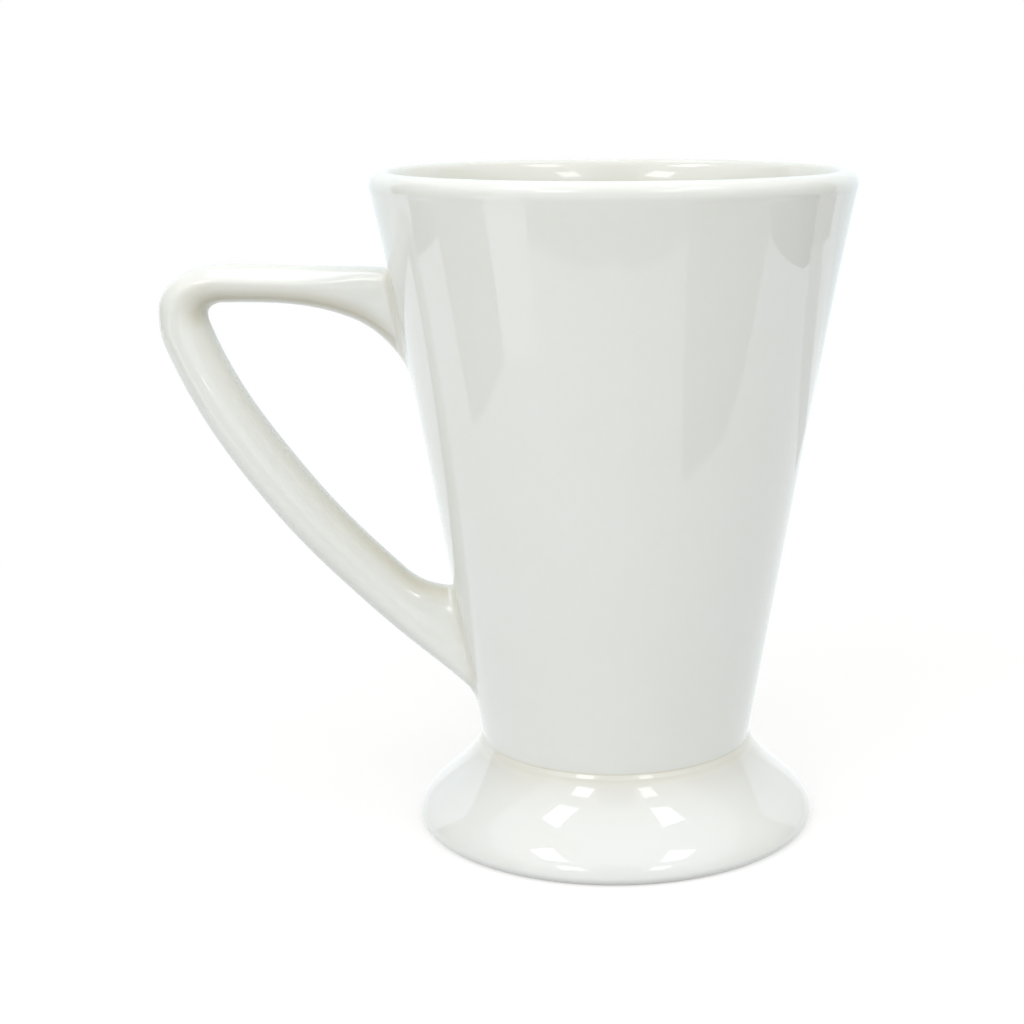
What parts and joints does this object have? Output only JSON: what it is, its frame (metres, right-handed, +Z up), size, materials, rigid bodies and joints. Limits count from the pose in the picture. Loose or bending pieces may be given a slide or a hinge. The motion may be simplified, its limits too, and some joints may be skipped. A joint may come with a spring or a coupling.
{
  "type": "footed coffee mug",
  "caption": "Tapered glazed ceramic coffee mug on a flared hollow foot, with a three-cornered side handle; it stands free and holds a hot drink.",
  "frame": {"origin": "middle of the footprint's bounding box on the surface the mug stands on; the turned axis of cup and foot is at x = +20.9 mm, y = 0", "axes": "+Z up along the turned axis, -X towards the handle, Y across the handle"},
  "size_m": [0.1352, 0.0934, 0.13],
  "materials": {
    "glaze": "glossy off-white glaze",
    "foot_glaze": "glossy off-white glaze, bare clay on the standing ring",
    "joint_glaze": "glossy off-white glaze, pooled a little darker"
  },
  "bodies": {
    "root": {"cup_body": "glaze", "handle": "glaze", "foot": "foot_glaze", "foot_slip_ring": "joint_glaze", "handle_upper_slip": "joint_glaze", "handle_lower_slip": "joint_glaze"}
  },
  "joints": []
}
